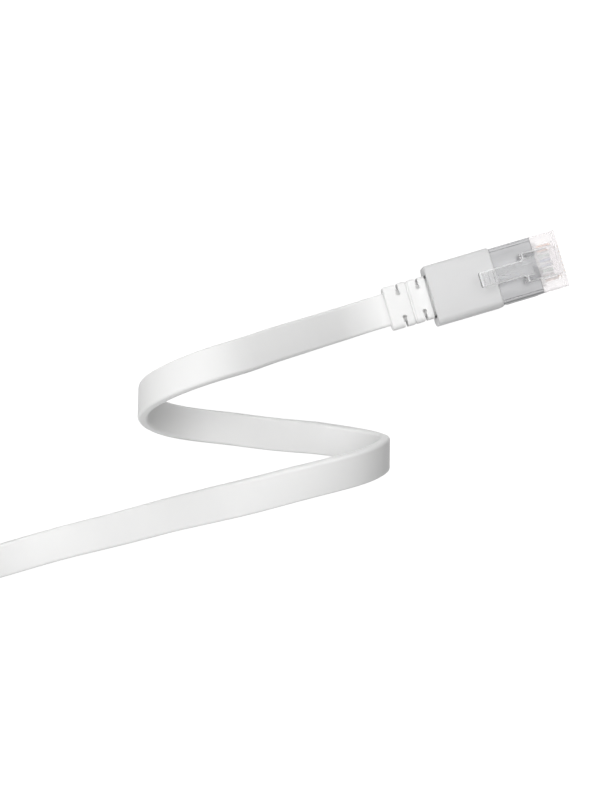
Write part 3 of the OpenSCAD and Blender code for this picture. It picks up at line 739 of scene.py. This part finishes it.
def tie_mesh(name, angle):
    line = tie_line(angle)
    axis = Vector((COIL_CENTRE.x, COIL_CENTRE.y, 0))
    rows = []
    for i, (x, z) in enumerate(line):
        before, after = line[i - 1], line[(i + 1) % len(line)]
        tx, tz = after[0] - before[0], after[1] - before[1]
        size = math.hypot(tx, tz)
        row = []
        for y, out in TIE_SECTION:
            r, h = x + tz / size * out * TIE_T, z - tx / size * out * TIE_T
            row.append((axis + r * outward(angle) + y * onward(angle) + h * HEIGHT) * MM)
        rows.append(row)
    mesh = mesh_of(name, *tube(rows, closed=True))
    total = running(line + line[:1])
    uv = mesh.uv_layers.new(name="strap")
    for poly in mesh.polygons:
        spots = [(k, *divmod(mesh.loops[k].vertex_index, len(TIE_SECTION))) for k in poly.loop_indices]
        used = [row for _, row, _ in spots]
        last = max(used) - min(used) > 1
        for k, row, column in spots:
            s = total[-1] if last and row == 0 else total[row]
            uv.data[k].uv = (s * MM, (TIE_SECTION[column][0] + TIE_W / 2) * MM)
    return mesh


for index, angle in enumerate(TIE_ANGLES):
    name = f"coil_tie_{index + 1}"
    tie = put(name, tie_mesh(name, angle))
    face_out(tie)
    paint(tie, ["tie_fabric"])
    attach(tie, "root")
    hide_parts("coil_ties")

# ---------------------------------------------------------------- the cable rides with the root, in place of the imported run and coil
face_out(cable)
paint(cable, ["cable_jacket"])
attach(cable, "root")
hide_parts("cable_run", "cable_coil")

# ---------------------------------------------------------------- floor, plain white to the camera
FLOOR_REACH, FLOOR_DROP = 40, 0.0001
FLOOR_BOUNCE = 0.1      # how much of its white the floor throws back on the object
corners = [(x * FLOOR_REACH, y * FLOOR_REACH, 0) for x, y in ((-1, -1), (1, -1), (1, 1), (-1, 1))]
floor_mesh = bpy.data.meshes.new("floor")
floor_mesh.from_pydata(corners, [], [(0, 1, 2, 3)])
floor = put("floor", floor_mesh)
floor.location.z = -FLOOR_DROP
paper = Surface("floor_paper", (0.1, 0.1, 0.1), 0.9).mottle((0.09, 0.09, 0.09), 30)
paper.shader.inputs["Emission Color"].default_value = (1, 1, 1, 1)
on_object = paper.add("ShaderNodeLightPath").outputs["Is Diffuse Ray"]
paper.link(maths(paper.tree, "MULTIPLY_ADD", on_object, FLOOR_BOUNCE - 1, 1),
           paper.shader.inputs["Emission Strength"])
floor.data.materials.append(paper.mat)

# ---------------------------------------------------------------- square softboxes, aimed below the camera
LAMP_AWAY = 0.8
# turn from the image's right, lift above the floor, size in metres, and the share of white it gives a face
# that is turned to it
LAMPS = {
    "overhead": (0, 89.9, 1.4, 0.44),
    "left_high": (180, 62, 0.5, 0.21),
    "back_high": (135, 62, 0.5, 0.15),
    "right_high": (45, 62, 0.5, 0.15),
    "back": (100, 20, 0.4, 0.28),
    "left_low": (225, 12, 0.4, 0.2),
    "front_low": (280, 15, 0.4, 0.12),
}
for name, (turn, lift, size, level) in LAMPS.items():
    light = bpy.data.lights.new(name, "AREA")
    light.size = size
    light.energy = level * math.pi * (math.pi * LAMP_AWAY ** 2 + size ** 2)
    turn, lift = math.radians(turn), math.radians(lift)
    aim = (RIGHT * math.cos(turn) + UP * math.sin(turn)) * math.cos(lift) + math.sin(lift) * HEIGHT
    lamp = put(name, light)
    lamp.location = Vector((CAMERA_AT.x, CAMERA_AT.y, 0)) + aim * LAMP_AWAY
    lamp.rotation_mode = "QUATERNION"
    lamp.rotation_quaternion = aim.to_track_quat("Z", "Y")

# ---------------------------------------------------------------- the room, white to the camera
IN_MIRROR, IN_GLASS = 0.45, 0.15    # how bright it is in a reflection and through clear plastic
world = bpy.data.worlds.new("studio")
bpy.context.scene.world = world
world.use_nodes = True
sky = world.node_tree
rays = sky.nodes.new("ShaderNodeLightPath")
lit, seen = sky.nodes["Background"], sky.nodes.new("ShaderNodeBackground")
for background in (lit, seen):
    background.inputs["Color"].default_value = (1, 1, 1, 1)
seen.inputs["Strength"].default_value = 1.0
mirrored = maths(sky, "MULTIPLY", rays.outputs["Is Glossy Ray"], IN_MIRROR)
strength = maths(sky, "MULTIPLY_ADD", rays.outputs["Is Transmission Ray"], IN_GLASS, mirrored)
sky.links.new(strength, lit.inputs["Strength"])
room = switch(sky, rays.outputs["Is Camera Ray"], lit.outputs[0], seen.outputs[0])
sky.links.new(room, sky.nodes["World Output"].inputs["Surface"])

bpy.context.scene.view_settings.view_transform = "Standard"
bpy.context.scene.view_settings.look = "None"

bpy.context.view_layer.update()
